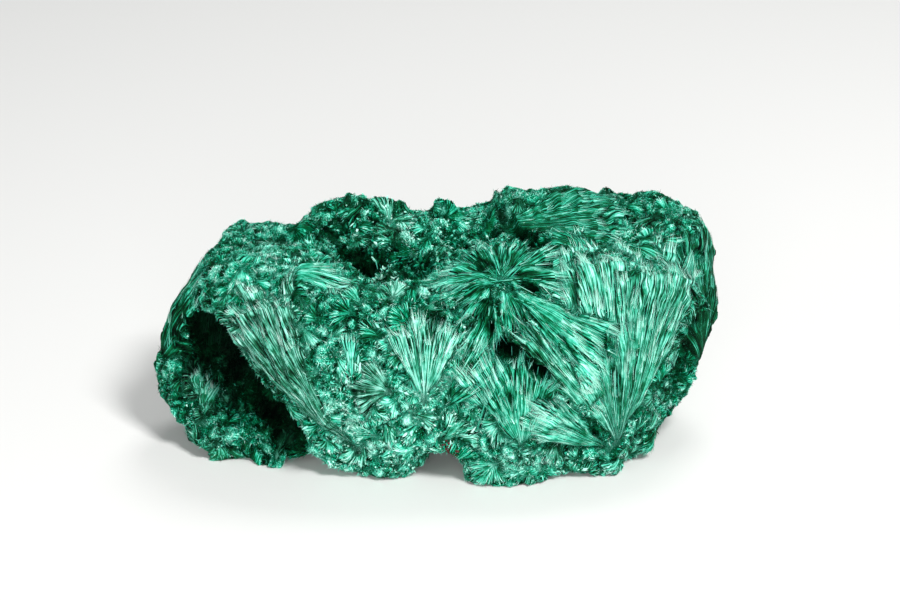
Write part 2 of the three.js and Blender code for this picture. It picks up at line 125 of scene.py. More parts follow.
# The room adds a weak and faintly cool light from all round.
world = bpy.data.worlds.new("studio")
bpy.context.scene.world = world
world.use_nodes = True
room = world.node_tree.nodes["Background"]
room.inputs["Color"].default_value = linear("f2f4f6")
room.inputs["Strength"].default_value = 0.28
bpy.context.scene.view_settings.view_transform = "Standard"

# %% [markdown]
# ## The rock
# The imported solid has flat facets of 2 or 3 mm. A copy of it is voxel remeshed, which gives an even
# net of small faces. Later this net is drawn in by a tenth of a millimetre, because the needles
# that grow out of it stand a little proud.

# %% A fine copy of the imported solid
VOXEL = 0.40 * MM
SAME_PLACE = 1e-6  # points nearer to each other than this are one
SMOOTHING = 3  # rounds that take away the steps of the voxels

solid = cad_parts["malachite_specimen"]


def fine_copy():
    """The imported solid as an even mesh, with its doubles merged first."""
    mesh = solid.data.copy()
    merged = bmesh.new()
    merged.from_mesh(mesh)
    bmesh.ops.remove_doubles(merged, verts=merged.verts, dist=SAME_PLACE)
    merged.to_mesh(mesh)
    merged.free()
    rock = bpy.data.objects.new("malachite_body", mesh)
    bpy.context.scene.collection.objects.link(rock)
    remesh = rock.modifiers.new("even", "REMESH")
    remesh.mode = "VOXEL"
    remesh.voxel_size = VOXEL
    smooth = rock.modifiers.new("soft", "SMOOTH")
    smooth.iterations = SMOOTHING
    depsgraph = bpy.context.evaluated_depsgraph_get()
    even = bpy.data.meshes.new_from_object(rock.evaluated_get(depsgraph))
    rock.modifiers.clear()
    rock.data = even
    return rock


def read(mesh, what):
    """The points or normals of a mesh as an array."""
    values = np.empty(len(mesh.vertices) * 3, np.float32)
    mesh.vertices.foreach_get(what, values)
    return values.reshape(-1, 3).astype(float)


def write_points(points):
    """Moves the rock's points and returns them, their normals and a search tree of the rock."""
    body.data.vertices.foreach_set("co", points.ravel().astype(np.float32))
    body.data.update()
    faces = [tuple(p.vertices) for p in body.data.polygons]
    return points, read(body.data, "normal"), BVHTree.FromPolygons(points.tolist(), faces)


def unit(vectors):
    """Vectors of length one."""
    vectors = np.asarray(vectors, float)
    return vectors / np.maximum(np.linalg.norm(vectors, axis=-1, keepdims=True), 1e-9)


def lumps(points, size):
    """An even noise with lumps of the size given."""
    return np.array([noise.noise(Vector(p / size)) for p in points])


body = fine_copy()
body.data.materials.clear()
even_points = read(body.data, "co")
print("The rock has", len(even_points), "points")

# %% [markdown]
# The solid has the hollows that matter, but its facets leave them shallow. Here the pocket on top,
# the pits around the star, the cavern at the left and the slot in the right flank are pressed
# deeper, and a few knobs are raised in the same way. Each is a line between two points, with a
# radius, a depth and the way that it is pressed, all in millimetres.

# %% Pressing the pits deeper
PITS = [
    # The pocket on top.
    ((-12.4, 4, 25), (-9.6, 2, 24), 3.4, 3.8, (0, 0.35, -1)),
    ((-5.4, 3, 25.4), (-2.2, 1, 25.4), 3.0, 3.6, (0, 0.35, -1)),
    ((-8.2, -3, 26.4), (-4.4, -3.4, 26.2), 1.8, 2.2, (0, 0.3, -1)),
    ((-16.6, 6, 28), (-14.8, 8.4, 28.4), 1.6, 1.8, (0, 0.6, -1)),
    ((3.4, 2.6, 28), (1.4, 6.6, 28.4), 1.5, 1.8, (0, 0.3, -1)),
    # The crevice under the star's long arm, in three steps.
    ((6.4, -11.4, 24.9), (7.4, -13, 22), 1.2, 1.8, (0.1, 1, -0.2)),
    ((7.6, -13.2, 21.6), (10.2, -13.8, 18.8), 1.5, 1.7, (0, 1, 0)),
    ((10.2, -13.8, 18.6), (15, -14.6, 16), 1.3, 1.6, (0, 1, 0)),
    # Pits around the star.
    ((11.9, -9.6, 27.2), (13.4, -8.8, 27), 1.1, 2.2, (0, 0.5, -1)),
    ((4.5, -11.6, 25.6), (3.4, -11.4, 24.6), 0.8, 1.4, (0, 1, -0.4)),
    ((-0.2, -11.8, 24.6), (-1.1, -14.4, 21), 0.8, 1.6, (0, 1, -0.3)),
    ((6.4, -5.2, 28), (5.6, -4.4, 28), 1.2, 2.2, (0, 0.4, -1)),
    # The crevice in front of the slab, and the cracks that part the great fan.
    ((8.8, 7.4, 30), (13.6, 0.2, 29.4), 1.0, 2.2, (0.3, 0.3, -1)),
    ((12.4, 1.0, 29), (15.4, -0.4, 29.8), 0.9, 1.8, (0.2, 0.4, -1)),
    ((19.3, -4.4, 28.4), (19.2, -9.8, 23.4), 0.7, 1.5, (0.1, 1, -0.5)),
    ((17, -13, 21), (19.4, -14.2, 17.4), 0.5, 1.2, (0, 1, 0)),
    ((23.9, -14.7, 17.8), (25, -14.6, 12.6), 0.45, 0.9, (0, 1, 0)),
    ((10.1, -18.6, 14.4), (10.4, -20, 11.6), 0.5, 1.0, (0, 1, 0)),
    # The slot in the right flank.
    ((34.2, -4.6, 10.6), (35.6, -2.6, 17.4), 1.5, 2.2, (-0.8, 0.6, -0.1)),
    # The cavern, and the shadow under the ledge.
    ((-32.6, -4.4, 18.4), (-31, -4, 10.6), 3.2, 4.4, (0.1, 1, 0.1)),
    ((-28.4, -4.6, 10), (-21.6, -10, 5), 2.2, 3.0, (0, 1, 0.2)),
    # The valley between the great fan and its low left part is filled.
    ((15.5, -14.8, 14.4), (23, -15.4, 8), 1.7, 1.3, (0, -1, 0.2)),
    # The slab, the knobs on the skyline and the nugget stand out instead.
    ((9.6, 9.5, 30), (19, 11, 31), 4.5, 1.7, (-0.1, 0, 1)),
    ((-12.9, 11.8, 29.6), (-6.5, 12, 29.6), 2.2, 1.2, (0, 0, 1)),
    ((0.3, 12, 29.6), (1.2, 12.2, 29.8), 1.5, 1.2, (0, 0, 1)),
    ((25.8, 5.0, 31.2), (26.8, 5.2, 31.2), 1.5, 1.5, (0, -0.8, 1)),
    ((-24, 8, 27.6), (-19.5, 7, 27.8), 2.8, 1.2, (0, 0, 1)),
    # The skyline behind the nugget is a little lower, and the lower left corner is drawn in.
    ((23.6, 12.8, 32.4), (25.6, 13.4, 32.4), 2.4, 1.5, (0, 0, -1)),
    ((-39.6, -8, 1.6), (-39, 4, 3.6), 4.8, 2.0, (1, 0.1, 0)),
]
RAGGED = 0.6  # how much the edge of a pit wanders, as a share of its radius
RAGGED_SIZE = 1.3 * MM


def pressed(points):
    """The points after the pits are pressed in."""
    ragged = 1 + RAGGED * lumps(points, RAGGED_SIZE)
    points = points.copy()
    for start, end, radius, depth, into in PITS:
        start, end = np.array(start) * MM, np.array(end) * MM
        line = end - start
        along = np.clip(((points - start) @ line) / (line @ line), 0, 1)
        away = points - (start + along[:, None] * line)
        way_in = unit(into)
        level = away @ way_in
        aside = np.linalg.norm(away - level[:, None] * way_in, axis=1) / (radius * MM) * ragged
        # Only the near wall moves, and not the far side of a thin ledge.
        near = np.abs(level) < max(1.6 * radius, 1.5) * MM
        strength = np.clip(1 - aside**2, 0, 1) ** 1.5 * near
        points += (depth * MM * strength)[:, None] * way_in
    return points


rock_points, rock_normals, tree_of_rock = write_points(pressed(even_points))
print("Pits:", len(PITS))

# %% [markdown]
# ## The map of the sprays
# Each spray that can be told apart has a place, the way it grows, how far it reaches and how wide
# it opens. Hundreds of small sprays stand between them, and the rest of the rock is covered with
# little cushions of velvet. The map gives each point of the rock to one of them, and notes three
# things there: the way its needles grow, their length, and the ray from the centre, which the
# materials turn into streaks.

# %% The sprays that can be told apart
FRONT = (0, -1, 0.35)


def spray(at, toward, face, reach, spread, blade, pale, grey=0.15, bundle=1.0):
    """A fan in millimetres and degrees. toward is where its middle grows to, face is outwards, and
    blade is the length of its needles. pale goes from 0, deep green, to 1, mint. grey is a dusting
    of the finest fibres, and bundle is how deep the rays are grooved."""
    form = {"at": at, "toward": toward, "face": face, "reach": reach, "spread": spread}
    return {**form, "blade": blade, "pale": pale, "grey": grey, "bundle": bundle, "small": 0.0}


FANS = [
    # The star on the shoulder, with its long arm and the bundles that hang from it.
    spray((9.5, -8.8, 26.4), (1, -0.36, -0.6), (0.1, -1, 0.6), reach=17, spread=36, blade=5, pale=0.75),
    spray((8, -9.6, 25.2), (-0.2, -0.45, -1), (0, -1, 0.6), reach=7, spread=50, blade=4, pale=0.75),
    spray(
        (8.7, -7.6, 27.3), (0.2, 0.4, 1), (0, -0.8, 0.6),
        reach=8, spread=360, blade=4, pale=0.50, bundle=2.8,
    ),
    # The great fan at the right end, its low left part, and the fan that hangs from the edge above.
    spray(
        (25.4, -14.6, 4.6), (-0.16, 0.35, 1), (0.15, -1, 0.35),
        reach=26, spread=76, blade=6, pale=0.76, grey=0.45, bundle=1.3,
    ),
    spray(
        (24.4, -15, 4.2), (-0.95, 0.1, 0.55), (-0.05, -1, 0.3),
        reach=13, spread=42, blade=4.5, pale=0.7, grey=0.3,
    ),
    spray((30.4, -3.6, 28.6), (0.3, -0.4, -1), (0.25, -1, 0.6), reach=11, spread=110, blade=3, pale=0.55),
    # The fans of the lower front.
    spray((11.6, -18.2, 6.6), (0.1, 0.1, 1), FRONT, reach=12, spread=112, blade=4.5, pale=0.62, grey=0.2),
    spray((5.4, -17.4, 9.4), (0.5, 0.1, 0.85), FRONT, reach=10, spread=26, blade=5, pale=0.95),
    spray((-1.8, -16.2, 12.2), (0, 0.2, 1), FRONT, reach=11, spread=62, blade=3, pale=0.63, grey=0.6),
    spray((0, -16.4, 11), (0.8, 0.1, 0.75), FRONT, reach=11, spread=44, blade=4.5, pale=0.35),
    spray(
        (-6.5, -17.6, 14.8), (-1, 0, 0.2), (-0.2, -1, 0.4),
        reach=5.0, spread=120, blade=1.2, pale=0.45, grey=1.0, bundle=2.0,
    ),
    spray((-11.8, -16.2, 17.4), (0, 0.3, 1), FRONT, reach=4.5, spread=46, blade=2.4, pale=0.8),
    spray(
        (-11.4, -17, 4.6), (-0.74, 0.27, 1), (-0.45, -1, 0.35),
        reach=25, spread=25, blade=2.8, pale=0.4, grey=0.9,
    ),
    # The fan that lies on the upper left shoulder.
    spray((-22.6, -6, 27), (1, -0.1, 0.05), (0.1, -0.5, 1), reach=9, spread=60, blade=4.5, pale=0.8),
    # The wing at the left end.
    spray(
        (-33.8, -9.6, 5.2), (0, 0.3, 1), (-0.35, -1, 0.1),
        reach=8, spread=46, blade=3, pale=0.75, grey=0.5,
    ),
    spray((-38.2, 0.4, 5.6), (0.25, 0.2, 1), (-1, -0.4, 0.25), reach=20, spread=56, blade=4, pale=0.35),
    # The right flank.
    spray(
        (38, 0.2, 9.6), (0, 0.1, 1), (0.7, -0.7, 0.1),
        reach=19, spread=64, blade=3.5, pale=0.38, grey=0.3,
    ),
    spray(
        (25.5, 0.3, 29.4), (1, -0.35, -0.2), (0.1, -0.4, 1),
        reach=9.5, spread=74, blade=2.8, pale=0.55,
    ),
    spray((37.4, 3.4, 7), (0.05, 0.15, 1), (1, -0.35, 0), reach=21, spread=60, blade=5, pale=0.4),
    spray((34, 12.4, 27), (-0.1, 0.1, -1), (0.7, 1, 0.1), reach=15, spread=80, blade=4.5, pale=0.45),
    # The back.
    spray((18.4, 18, 5), (0.1, 0, 1), (0.05, 1, 0.1), reach=19, spread=100, blade=5.5, pale=0.6),
    spray((-0.6, 16, 25.8), (-0.15, 0.2, -1), (-0.05, 1, 0.35), reach=16, spread=90, blade=5, pale=0.6),
    spray((-15.6, 16, 5), (-0.45, 0, 1), (-0.25, 1, 0.1), reach=15, spread=90, blade=5, pale=0.55),
    spray((-31, 9, 24), (-0.3, 0, -1), (-1, 1, 0.1), reach=12, spread=90, blade=4.5, pale=0.5),
    # The top, behind the star, and the slab's fine hatch.
    spray(
        (7.5, 5, 29.6), (1, 0.1, 0.1), (0, -0.5, 1),
        reach=19, spread=46, blade=2.4, pale=0.42, bundle=0.12,
    ),
    spray((21.4, -2.6, 29.6), (-0.3, 1, 0), (-0.1, -0.3, 1), reach=7, spread=120, blade=2.5, pale=0.45),
    spray((12, -6.4, 27.6), (0.7, 0.5, 0.4), (0, -0.5, 1), reach=6, spread=60, blade=3, pale=0.6),
]
print("Fans that can be told apart:", len(FANS))

# %% Setting the fans on the rock
SEARCH = 8  # the rock is looked for this many millimetres over a fan's place and under it


def settle(fan):
    """The fan with its centre on the rock, in metres, and its directions at right angles."""
    out = unit(fan["face"])
    start = Vector(np.array(fan["at"]) * MM + out * SEARCH * MM)
    hit = tree_of_rock.ray_cast(start, Vector(-out), 2 * SEARCH * MM)
    centre = np.array(hit[0]) if hit[0] is not None else np.array(fan["at"]) * MM
    toward = np.array(fan["toward"], float)
    axis = unit(toward - out * toward.dot(out))
    return dict(fan, centre=centre, out=out, axis=axis)


fans = [settle(fan) for fan in FANS]
print("The lowest centre is at", round(min(fan["centre"][2] for fan in fans) / MM, 1), "mm")

# %% The small sprays between them
SEED = 23
SMALL_COUNT = 900
SMALL_TRIES = 5000
SMALL_REACH = (1.3, 4.6)
SMALL_SPREADS = [60, 80, 110, 150]
FAR_AWAY = 9.0  # metres, for a place that isn't used yet
draws = np.random.default_rng(SEED)
noise.seed_set(SEED)  # noise_vector would take its offsets from the clock


def small_sprays():
    """Small sprays all over the rock, each with a centre, a way and a shade of its own."""
    sprays, places = [], np.full((SMALL_COUNT, 3), FAR_AWAY)
    for i in draws.permutation(len(rock_points))[:SMALL_TRIES]:
        reach = draws.uniform(*SMALL_REACH)
        taken = np.linalg.norm(places - rock_points[i], axis=1) < 0.5 * reach * MM
        if len(sprays) == len(places) or taken.any():
            continue
        places[len(sprays)] = rock_points[i]
        out = unit(rock_normals[i] + 0.25 * draws.normal(size=3))
        toward = draws.normal(size=3)
        sprays.append(
            dict(
                centre=rock_points[i],
                out=out,
                axis=unit(toward - out * toward.dot(out)),
                reach=reach,
                spread=draws.choice(SMALL_SPREADS),
                blade=0.6 + 0.22 * reach,
                pale=float(np.clip(draws.normal(0.45, 0.16), 0, 1)),
                grey=float(np.clip(draws.normal(0.2, 0.3), 0, 1)),
                small=1.0,
                bundle=0.8,
            )
        )
    return sprays


fans += small_sprays()
print("Sprays in all:", len(fans))

# %% The cushions
CUSHION_SIZE = (0.55 * MM, 1.5 * MM)
CUSHION_GAP = 0.55  # the least distance of two centres, as a share of both sizes
CUSHION_TRIES = 22000


def scatter_cushions():
    """Cushion centres all over the rock, no two nearer than their sizes allow."""
    order = draws.permutation(len(rock_points))[:CUSHION_TRIES]
    places = np.full((len(order), 3), FAR_AWAY)
    sizes = draws.uniform(*CUSHION_SIZE, len(order))
    count = 0
    for i, size in zip(order, sizes.copy()):
        gaps = np.linalg.norm(places[:count] - rock_points[i], axis=1)
        if (gaps < CUSHION_GAP * (sizes[:count] + size)).any():
            continue
        places[count] = rock_points[i]
        sizes[count] = size
        count += 1
    return places[:count], sizes[:count]


cushion_places, cushion_sizes = scatter_cushions()
cushion_normals = np.array([tree_of_rock.find_nearest(Vector(p))[1] for p in cushion_places])
cushion_pale = np.clip(draws.normal(0.5, 0.25, len(cushion_places)), 0, 1)
cushion_grey = np.clip(draws.normal(0.1, 0.2, len(cushion_places)), 0, 0.8)
print("Cushions:", len(cushion_places))

# %% Which spray each point belongs to
CUSHION = -1
FRAY = 0.32  # how much the rim of a fan wanders, as a share of its reach
FRAY_SIZE = 2.2 * MM
FARTHEST = 1.25  # times its reach, where a fan ends for certain
HEART = 0.6 * MM  # the middle of a fan, which is its own all round


def fans_of(points):
    """The fan that owns each point, or CUSHION."""
    owner = np.full(len(points), CUSHION)
    frayed = 1 + FRAY * lumps(points, FRAY_SIZE)
    for index, fan in enumerate(fans):
        reach = fan["reach"] * MM
        near = np.flatnonzero(np.linalg.norm(points - fan["centre"], axis=1) < FARTHEST * reach)
        away = points[near] - fan["centre"]
        distance = np.linalg.norm(away, axis=1)
        height = away @ fan["out"]
        flat = unit(away - height[:, None] * fan["out"])
        angle = np.degrees(np.arccos(np.clip(flat @ fan["axis"], -1, 1)))
        inside = (distance * frayed[near] < reach) & (angle * frayed[near] < fan["spread"] / 2)
        inside |= distance < min(HEART, 0.2 * reach)
        # A fan follows the rock, but it doesn't climb round an edge.
        inside &= np.abs(height) < 0.55 * distance + 1.2 * MM
        near = near[inside]
        owner[near[owner[near] == CUSHION]] = index
    return owner


def cushions_of(points):
    """The cushion nearest to each point, measured in its own size."""
    index = KDTree(len(cushion_places))
    for n, place in enumerate(cushion_places):
        index.insert(Vector(place), n)
    index.balance()
    owner = np.empty(len(points), int)
    for i, point in enumerate(points):
        near = index.find_n(Vector(point), 5)
        owner[i] = min(near, key=lambda found: found[2] / cushion_sizes[found[1]])[1]
    return owner


fan_of = fans_of(rock_points)
cushion_of = cushions_of(rock_points)
is_fan = fan_of >= 0
print("Share of the rock under sprays:", round(float(is_fan.mean()), 2))

# %% The ray to each point
FAN_DEPTH = 0.6  # of a fan's centre, in millimetres under the rock
CUSHION_DEPTH = 0.7  # of a cushion's centre, as a share of its size


def per_fan(key):
    """A value of the fan that owns each point."""
    return np.array([fan[key] for fan in fans])[np.maximum(fan_of, 0)]


outs = per_fan("out")
centres = per_fan("centre") - outs * FAN_DEPTH * MM
deep = (cushion_places - cushion_normals * (CUSHION_DEPTH * cushion_sizes)[:, None])[cushion_of]
away = rock_points - np.where(is_fan[:, None], centres, deep)
ray = unit(away)
distance = np.linalg.norm(away, axis=1)
from_middle = np.linalg.norm(rock_points - cushion_places[cushion_of], axis=1)
cushion_share = from_middle / cushion_sizes[cushion_of]
share = np.where(is_fan, distance / (per_fan("reach") * MM), cushion_share)
print("The longest ray is", round(float(distance[is_fan].max()) / MM, 1), "mm")

# %% The grain
# The rays are seen from over the spray, so that the rock's own lumps don't break a streak. They
# are opened out by as many streaks as a spray has, and moved apart from spray to spray.
GRAIN = 0.15 * MM  # the width of a streak at the rim of its spray
SPRAY_SHIFT = [17.3, 5.1, 9.7]

level_away = away - (away * outs).sum(axis=1, keepdims=True) * outs
level_ray = np.where(is_fan[:, None], unit(level_away), ray)
rim = np.where(is_fan, 0.85 * per_fan("reach") * MM, 1.4 * cushion_sizes[cushion_of])
spray_number = np.where(is_fan, fan_of, len(fans) + cushion_of)
grain = level_ray * (rim / GRAIN)[:, None] + np.outer(spray_number, SPRAY_SHIFT) % 100
print("Streaks are", GRAIN / MM, "mm wide")

# %% [markdown]
# ## Relief
# The rock itself carries the grain. Each fan has bundles that run out from its centre, with gaps
# between them, and lies a little proud at its rim. Each cushion is a low dome. Where one spray meets
# the next there is a groove, and this is what makes the sprays read apart.

# %% How high each point stands
SINK = 0.12 * MM  # how far the rock is drawn in
FLOOR_GAP = 0.02 * MM  # how far it ends over the floor
BUNDLE = 0.30 * MM
BUNDLE_WIDTHS = [(2.6 * MM, 1.0), (1.15 * MM, 0.9)]  # each with its weight
BUNDLE_LENGTH = 5 * MM
BUNDLE_SHIFT = 7.3
FAN_RISE = 0.35 * MM
DOME = 0.32 * MM
LUMP = 0.34 * MM
GROOVE = 0.42 * MM
SLAB = (16, 7, 30)
SLAB_RADIUS = 8
SLAB_CALM = 0.7  # the share of the relief that is left out on the slab, whose hatch is fine


def bundles():
    """A wave across the rays, so that the needles lie in bundles that split and end."""
    wave = np.zeros(len(ray))
    along = distance / BUNDLE_LENGTH + BUNDLE_SHIFT * fan_of
    for width, weight in BUNDLE_WIDTHS:
        count = np.where(is_fan, per_fan("reach") * MM / width, 1)
        # Near the centre a bundle would be too thin to show, and fades.
        fade = np.clip((distance / count - 0.5 * MM) / (0.3 * MM), 0, 1)
        for i in np.flatnonzero(fade):
            wave[i] += weight * fade[i] * noise.noise(Vector(level_ray[i] * count[i] + along[i]))
    return wave


def edge_ends():
    """The two points of each edge of the rock's net."""
    pairs = np.empty(len(body.data.edges) * 2, np.int32)
    body.data.edges.foreach_get("vertices", pairs)
    return pairs.reshape(-1, 2).T


def smoothed(values, rounds):
    """Values averaged over the rock's net a few times."""
    a, b = edge_ends()
    count = np.bincount(a, minlength=len(values)) + np.bincount(b, minlength=len(values)) + 1
    for _ in range(rounds):
        total = values + np.bincount(a, values[b], len(values)) + np.bincount(b, values[a], len(values))
        values = total / count
    return values


def borders():
    """1 where one spray meets the next, falling to 0 within a millimetre."""
    a, b = edge_ends()
    differ = fan_of[a] != fan_of[b]
    border = np.zeros(len(fan_of))
    border[a[differ]] = 1
    border[b[differ]] = 1
    return np.clip(smoothed(border, 2) * 1.6, 0, 1)


def closeness(place, radius, power):
    """1 at a place, falling to nothing past the radius, both in millimetres."""
    gap = np.linalg.norm(rock_points - np.array(place) * MM, axis=1) / (radius * MM)
    return np.exp(-(gap**power))


wave = bundles()
border = borders()
rise = FAN_RISE * np.clip(share, 0, 1)
fan_height = rise + BUNDLE * wave * np.clip(share * 6, 0, 1) * per_fan("bundle")
rough = 1.7 * np.abs(lumps(rock_points, 1.7 * MM)) - 0.9 * np.abs(lumps(rock_points, 0.9 * MM)) - 0.1
cushion_height = DOME * (0.7 - np.clip(cushion_share, 0, 1.2) ** 2) + LUMP * rough
height = np.where(is_fan, fan_height, cushion_height) - GROOVE * border
height *= 1 - SLAB_CALM * closeness(SLAB, SLAB_RADIUS, 4)
relief_points = rock_points + rock_normals * (height - SINK)[:, None]
relief_points[:, 2] = np.maximum(relief_points[:, 2], FLOOR_GAP)
relief_points, relief_normals, tree_of_relief = write_points(relief_points)
# crest is high on ridges and low in grooves. The materials paint the grooves darker and the ridges paler
# with it, as painted shade and light.
crest = height - smoothed(height, 6)
crest = np.clip(0.5 + crest / (5 * crest.std()), 0, 1)
print("Relief from", round(float(height.min()) / MM, 2), "to", round(float(height.max()) / MM, 2), "mm")

# %% [markdown]
# ## The way the needles grow
# The needles of a fan lie down like thatch along the rays from its centre, and only their tips lift
# off the rock. The velvet is made of far shorter needles. They too run out from the middle of their
# cushion, but they stand up more and cross each other.

# %% The direction and the length of the needles
FAN_TIP = 0.10 * MM  # how high the tips stand over the rock at a fan's rim
VELVET_TIP = 0.16 * MM
LONGEST_BLADE = 4.0  # in millimetres, since a longer one would leave the rock where it curves
VELVET = (0.4 * MM, 1.0 * MM)
FLOW_SIZE = 1.1 * MM  # of the eddies in which the velvet's needles cross
ROOT_DEPTH = 0.12 * MM


def ways():
    """For each point the direction and the length of its needles."""
    flow = np.array([noise.noise_vector(Vector(p / FLOW_SIZE)) for p in rock_points])
    heading = np.where(is_fan[:, None], ray, 0.8 * ray + 1.6 * flow)
    lying = unit(heading - (heading * relief_normals).sum(axis=1, keepdims=True) * relief_normals)
    longest = np.minimum(per_fan("blade"), LONGEST_BLADE) * MM
    fan_length = longest * np.clip(0.35 + 0.8 * share, 0.35, 1.0) * (1 - 0.6 * border)
    velvet_length = VELVET[0] + (VELVET[1] - VELVET[0]) * draws.random(len(ray))
    length = np.where(is_fan, fan_length, velvet_length)
    lift = np.where(is_fan, FAN_TIP * np.clip(share, 0, 1), VELVET_TIP)
    targets = relief_points + lying * length[:, None]
    turning = np.empty(len(targets))
    for i, target in enumerate(targets):
        place, normal = tree_of_relief.find_nearest(Vector(target))[:2]
        targets[i] = np.array(place) + lift[i] * np.array(normal)
        turning[i] = relief_normals[i] @ np.array(normal)
    # A needle that would run out over an edge is shorter.
    length = length * np.clip(0.2 + turning, 0.3, 1)
    return unit(targets - relief_points + ROOT_DEPTH * relief_normals), length


way, length = ways()
print("Needles are", [round(v / MM, 1) for v in np.percentile(length, (5, 50, 95))], "mm long")

# %% [markdown]
# ## Light and dark between the sprays
# Where a hollow is deep, hardly any light comes out of it again, and it looks nearly black. That
# shade is painted into the colour here. The openness of each point is measured with a few rays, as
# the share of the sky that it sees. As painted shade it darkens the needles in the pits and lets
# those on the crests stay pale.

# %% How open each point is
OPEN_RAYS = 18
OPEN_REACH = 9 * MM
OPEN_STEP = 6  # every sixth point is measured
HOVER = 0.5  # the rays start this many millimetres over the rock


def openness(points, normals):
    """The share of rays from each point that leave the rock, as a mean of four measured points."""
    chosen = np.arange(0, len(points), OPEN_STEP)
    sphere = unit(draws.normal(size=(OPEN_RAYS, 3)))
    index = KDTree(len(chosen))
    seen = np.zeros(len(chosen))
    for n, i in enumerate(chosen):
        start = Vector(points[i] + normals[i] * HOVER * MM)
        outward = sphere * np.where(sphere @ normals[i] > 0, 1, -1)[:, None] + 0.25 * normals[i]
        free = [tree_of_relief.ray_cast(start, Vector(o), OPEN_REACH)[0] is None for o in outward]
        seen[n] = np.mean(free)
        index.insert(Vector(points[i]), n)
    index.balance()
    return np.array([np.mean([seen[n] for _, n, _ in index.find_n(Vector(p), 4)]) for p in points])


# The openness is painted shade: the materials darken the colour where it is low.
open_share = openness(relief_points, rock_normals)
print("Openness, low, middle and high:", np.percentile(open_share, (10, 50, 90)).round(2).tolist())

# %% [markdown]
# The specimen isn't equally green all over. The lower lobe, the upper left shoulder and the nugget
# are paler, because their fibres are broken short. The ends and the back of the top are deeper
# green. The pocket, the pits, the crevices and the slot in the right flank are darkened as painted
# shade, and a part of the slab is made paler as painted light, where its face is turned from the light.

# %% Paler and deeper zones
# Each has a place and a radius in millimetres, and how much paler the green is.
TONE_LIGHT_AND_SHADE_ZONES = [
    ((-9, -18, 8), 11, 0.34),
    ((10, -19, 6), 9, 0.20),
    ((-2.5, -17, 17), 6, 0.25),
    ((-24.5, -6, 27.5), 4.5, 0.35),
    ((25.6, 0.3, 29.3), 1.1, 0.2),
    ((-21.5, -11, 21), 4, 0.2),
    # Painted light: this part of the slab is paler, where its face is turned away from the light.
    ((11, 7, 31), 5, 0.14),
    ((26.3, 4.6, 32), 1.5, 0.45),
    ((31.5, 3, 30), 3, -0.25),
    # Painted shade: the crevices under and beside the star, the pits around it, the crevices by the slab and
    # the slot in the right flank.
    ((6.6, -12.6, 22.4), 2.6, -0.5),
    ((12, -14, 17.6), 3, -0.4),
    ((12.4, -9, 27), 1.6, -0.5),
    ((4.2, -11.2, 25), 1.6, -0.4),
    ((13.4, 0.6, 29.4), 2.2, -0.4),
    ((10.4, 5, 30), 1.8, -0.4),
    ((34.8, -4, 14), 3.4, -0.5),
    ((-37, 0, 13), 13, -0.30),
    ((-22, -9, 16), 9, -0.08),
    ((14, 6, 31), 11, -0.06),
    # Painted shade over the pocket.
    ((-6, 5, 27), 10, -0.05),
    ((-13, 16, 27), 10, -0.25),
    ((39, 2, 18), 11, -0.30),
]
# The crumbly places, where chips grow too, and the share of chips everywhere else.
CRUMBS = [((-9, -18, 7), 13), ((20, -16, 3), 9), ((-6, 6, 26), 12)]
CRUMB_LEAST = 0.06

pale = np.where(is_fan, per_fan("pale"), cushion_pale[cushion_of])
pale += sum(amount * closeness(place, radius, 2) for place, radius, amount in TONE_LIGHT_AND_SHADE_ZONES)
grey = np.where(is_fan, per_fan("grey"), cushion_grey[cushion_of])
crumb = np.full(len(pale), CRUMB_LEAST)
for place, radius in CRUMBS:
    crumb = np.maximum(crumb, closeness(place, radius, 4))
crumb *= ~is_fan | (per_fan("small") > 0)
print("Paleness, low, middle and high:", np.percentile(pale, (10, 50, 90)).round(2).tolist())

# %% Writing the map on the rock
REGIONS = ["front_left", "front_middle", "front_right", "ends", "top", "back"]
FRONT_PARTS = (-9 * MM, 10 * MM)
FACING = 0.75  # the least share of a normal along the axis that it faces


def keep(mesh, name, values, kind="FLOAT"):
    """Stores an array on the points of a mesh."""
    attribute = mesh.attributes.new(name, kind, "POINT")
    field = "vector" if kind == "FLOAT_VECTOR" else "value"
    attribute.data.foreach_set(field, np.ascontiguousarray(values, np.float32).ravel())


nx, ny, nz = rock_normals.T
region = np.full(len(nx), REGIONS.index("back"))
region[nz > FACING] = REGIONS.index("top")
region[np.abs(nx) > FACING] = REGIONS.index("ends")
front = (ny < 0.1) & (nz <= FACING) & (np.abs(nx) <= FACING)
region[front] = np.digitize(relief_points[front, 0], FRONT_PARTS)
in_fan = is_fan * (1 - per_fan("small"))

keep(body.data, "way", way, "FLOAT_VECTOR")
keep(body.data, "grain", grain, "FLOAT_VECTOR")
columns = {
    "reach": length,
    "along": distance,
    "share": share,
    "pale": pale,
    "grey": grey,
    "open": open_share,
    "crest": crest,
    "crumb": crumb,
    "fan": in_fan,
    "rest": 1 - in_fan,
}
for name, column in columns.items():
    keep(body.data, name, column)
for number, name in enumerate(REGIONS):
    keep(body.data, "in_" + name, region == number)
print("Points in each region:", np.bincount(region, minlength=len(REGIONS)).tolist())

# %% [markdown]
# ## The malachite
# Fibrous malachite has a silky lustre: each needle is a smooth crystal, and the many small
# highlights add up to a soft sheen, which a middling roughness stands for. Seen along the fibres it
# is deep green to nearly black, and broken tips scatter light and turn mint. A few fibres carry a
# grey, dusty coat.

# %% The greens
# Each level from 0 to 1 has its green, and the duller green of the fibres under dust.
GREENS = [
    (0.0, "000703", "040907"),
    (0.2, "003319", "16332a"),
    (0.38, "005e35", "2c5648"),
    (0.52, "049470", "5a9080"),
    (0.7, "48c9ac", "8fbdb0"),
    (0.86, "8ae4cd", "aed6ca"),
    (1.0, "baf8e6", "d4ece4"),
]


